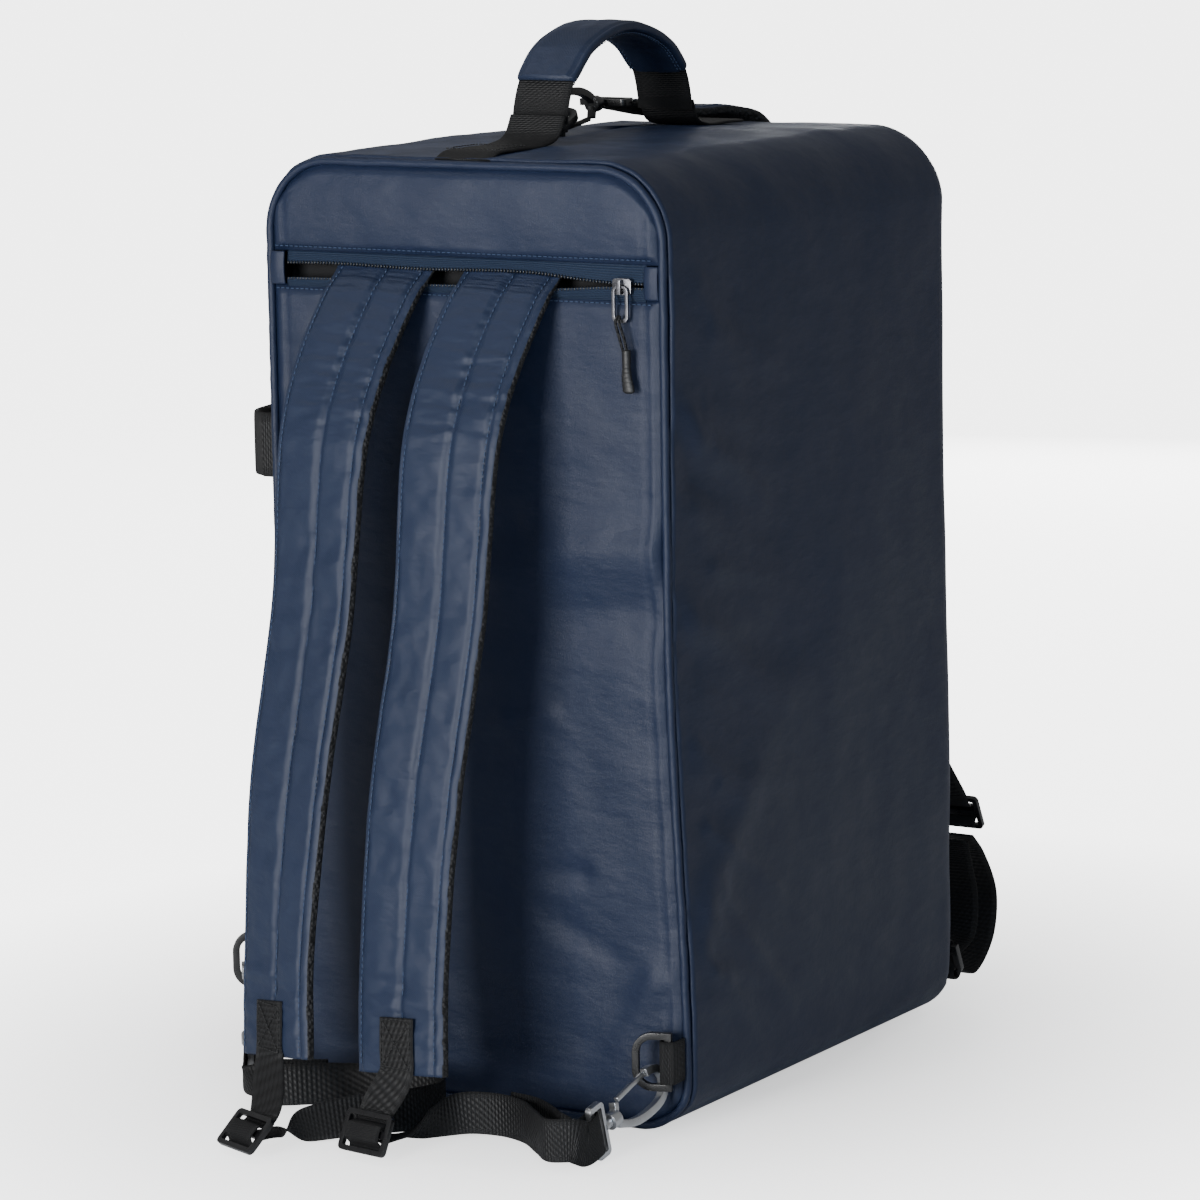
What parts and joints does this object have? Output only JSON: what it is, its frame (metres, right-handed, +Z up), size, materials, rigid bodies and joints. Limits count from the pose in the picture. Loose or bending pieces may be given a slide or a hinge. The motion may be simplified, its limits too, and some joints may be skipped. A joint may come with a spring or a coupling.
{
  "type": "convertible flight crew backpack",
  "caption": "Soft-sided flight bag standing on end, with pull-out backpack straps, zipped stash pocket, snap hooks, grab handles and a shoulder strap",
  "frame": {"origin": "middle of the base, on the floor the bag stands on", "axes": "+Z up along the long side of the standing bag, -Y out of the back panel where the backpack straps are, +X towards the plain side"},
  "size_m": [0.3132, 0.5756, 0.6225],
  "materials": {
    "navy_cloth": "satin nylon cloth",
    "navy_padding": "padded nylon cloth with mesh edging",
    "lining": "dark lining over stiff board",
    "zip_tape": "coil zip tape",
    "webbing": "ribbed webbing",
    "black_plastic": "moulded, satin gloss",
    "satin_zinc": "satin die-cast zinc",
    "slider_metal": "dark plated metal",
    "soft_rubber": "soft moulded"
  },
  "bodies": {
    "bag": {"gusset_right": "navy_cloth", "gusset_left": "navy_cloth", "gusset_top": "navy_cloth", "gusset_bottom": "navy_cloth", "front_frame": "navy_cloth", "back_panel": "navy_cloth", "back_yoke": "navy_cloth", "back_piping": "navy_cloth", "stash_end_left": "navy_cloth", "stash_end_right": "navy_cloth", "strap_pad_left": "navy_padding", "strap_pad_right": "navy_padding", "shoulder_pad": "navy_padding", "back_board": "lining", "base_board": "lining", "stash_zip_upper": "zip_tape", "stash_zip_lower": "zip_tape", "main_zip_outer": "zip_tape", "strap_web_left": "webbing", "strap_web_right": "webbing", "adjuster_web_left": "webbing", "adjuster_web_right": "webbing", "ring_tab_right": "webbing", "ring_tab_left": "webbing", "ring_tab_top": "webbing", "ring_tab_front": "webbing", "handle_foot_rear": "webbing", "handle_foot_front": "webbing", "side_foot_rear": "webbing", "side_foot_front": "webbing", "shoulder_web_upper": "webbing", "shoulder_web_lower": "webbing", "hook_eye_top": "black_plastic", "hook_eye_right": "satin_zinc", "hook_eye_left": "satin_zinc"},
    "lid": {"front_lid": "navy_cloth", "main_zip_inner": "zip_tape"},
    "main_slider": {"main_slider": "slider_metal"},
    "main_pull": {"main_pull": "soft_rubber"},
    "stash_slider": {"stash_slider": "slider_metal"},
    "stash_puller": {"stash_puller": "slider_metal"},
    "cord_pull": {"pull_cord": "webbing", "pull_grip": "soft_rubber"},
    "ring_right": {"d_ring_right": "black_plastic"},
    "ring_left": {"d_ring_left": "black_plastic"},
    "ring_top": {"d_ring_top": "black_plastic"},
    "ring_front": {"d_ring_front": "black_plastic"},
    "buckle_right": {"slide_buckle_right": "black_plastic"},
    "buckle_left": {"slide_buckle_left": "black_plastic"},
    "buckle_front": {"slide_buckle_front": "black_plastic"},
    "hook_right": {"hook_body_right": "satin_zinc"},
    "hook_left": {"hook_body_left": "satin_zinc"},
    "hook_top": {"hook_body_top": "black_plastic"},
    "gate_right": {"hook_gate_right": "satin_zinc"},
    "gate_left": {"hook_gate_left": "satin_zinc"},
    "gate_top": {"hook_gate_top": "black_plastic"},
    "top_handle": {"handle_web": "webbing", "handle_grip": "navy_cloth"},
    "side_handle": {"side_handle": "webbing"}
  },
  "joints": [
    {"name": "lid_hinge", "type": "hinge", "parent": "bag", "child": "lid", "pos_m": [-0.112, 0.173, 0.243], "axis": [0, 0, 1], "range_deg": [0, 110]},
    {"name": "main_zip_slide", "type": "slide", "parent": "lid", "child": "main_slider", "axis": [0, 0, 1], "range_m": [-0.15, 0.14]},
    {"name": "main_pull_swing", "type": "hinge", "parent": "main_slider", "child": "main_pull", "pos_m": [0.0577, 0.177, 0.25], "axis": [1, 0, 0], "range_deg": [0, 100]},
    {"name": "stash_zip_slide", "type": "slide", "parent": "bag", "child": "stash_slider", "axis": [1, 0, 0], "range_m": [-0.018, 0.004]},
    {"name": "stash_puller_swing", "type": "hinge", "parent": "stash_slider", "child": "stash_puller", "pos_m": [0.108, -0.1774, 0.484], "axis": [1, 0, 0], "range_deg": [-90, 0]},
    {"name": "cord_pull_swing", "type": "hinge", "parent": "stash_puller", "child": "cord_pull", "pos_m": [0.1115, -0.1798, 0.4665], "axis": [0, 1, 0], "range_deg": [-40, 40]},
    {"name": "ring_right_swing", "type": "hinge", "parent": "bag", "child": "ring_right", "pos_m": [0.1375, -0.186, 0.046], "axis": [0, 0, 1], "range_deg": [-4, 4]},
    {"name": "ring_left_swing", "type": "hinge", "parent": "bag", "child": "ring_left", "pos_m": [-0.141, -0.182, 0.074], "axis": [0, 0, 1], "range_deg": [-2, 4]},
    {"name": "ring_top_swing", "type": "hinge", "parent": "bag", "child": "ring_top", "pos_m": [-0.044, -0.012, 0.5592], "axis": [1, 0, 0], "range_deg": [-2, 4]},
    {"name": "ring_front_swing", "type": "hinge", "parent": "bag", "child": "ring_front", "pos_m": [0.114, 0.1805, 0.034], "axis": [1, 0, 0], "range_deg": [-3, 4]},
    {"name": "buckle_right_tilt", "type": "hinge", "parent": "bag", "child": "buckle_right", "pos_m": [0.006, -0.298, 0.015], "axis": [0.9893, -0.1461, 0], "range_deg": [-4, 4]},
    {"name": "buckle_left_tilt", "type": "hinge", "parent": "bag", "child": "buckle_left", "pos_m": [-0.06, -0.322, 0.013], "axis": [0.9336, -0.3584, 0], "range_deg": [-4, 4]},
    {"name": "buckle_front_tilt", "type": "hinge", "parent": "bag", "child": "buckle_front", "pos_m": [0.117, 0.207, 0.116], "axis": [-1, 0, 0], "range_deg": [-4, 4]},
    {"name": "hook_right_swivel", "type": "hinge", "parent": "bag", "child": "hook_right", "pos_m": [0.12411, -0.24035, 0.01757], "axis": [0.0904, 0.9638, 0.251], "range_deg": [-5, 5]},
    {"name": "gate_right_spring", "type": "hinge", "parent": "hook_right", "child": "gate_right", "pos_m": [0.12416, -0.22177, 0.03066], "axis": [0.9695, -0.1428, 0.1993], "range_deg": [-16, 0], "stiffness_Nm_per_rad": 0.02},
    {"name": "hook_left_swivel", "type": "hinge", "parent": "bag", "child": "hook_left", "pos_m": [-0.12811, -0.22072, 0.02446], "axis": [-0.4504, 0.6006, 0.6606], "range_deg": [-5, 5]},
    {"name": "gate_left_spring", "type": "hinge", "parent": "hook_left", "child": "gate_left", "pos_m": [-0.1349, -0.21268, 0.0446], "axis": [0.8271, 0.5593, 0.0555], "range_deg": [-16, 0], "stiffness_Nm_per_rad": 0.02},
    {"name": "hook_top_swivel", "type": "hinge", "parent": "bag", "child": "hook_top", "pos_m": [-0.044, 0.05909, 0.5689], "axis": [0, -0.9987, -0.05], "range_deg": [-5, 5]},
    {"name": "gate_top_spring", "type": "hinge", "parent": "hook_top", "child": "gate_top", "pos_m": [-0.04319, 0.03832, 0.55969], "axis": [0.995, -0.005, 0.0993], "range_deg": [-16, 0], "stiffness_Nm_per_rad": 0.02},
    {"name": "top_handle_tilt", "type": "hinge", "parent": "bag", "child": "top_handle", "pos_m": [0, -0.015, 0.5696], "axis": [0, 1, 0], "range_deg": [-30, 30]},
    {"name": "side_handle_tilt", "type": "hinge", "parent": "bag", "child": "side_handle", "pos_m": [-0.145, -0.055, 0.38], "axis": [0, 1, 0], "range_deg": [-15, 15]}
  ]
}
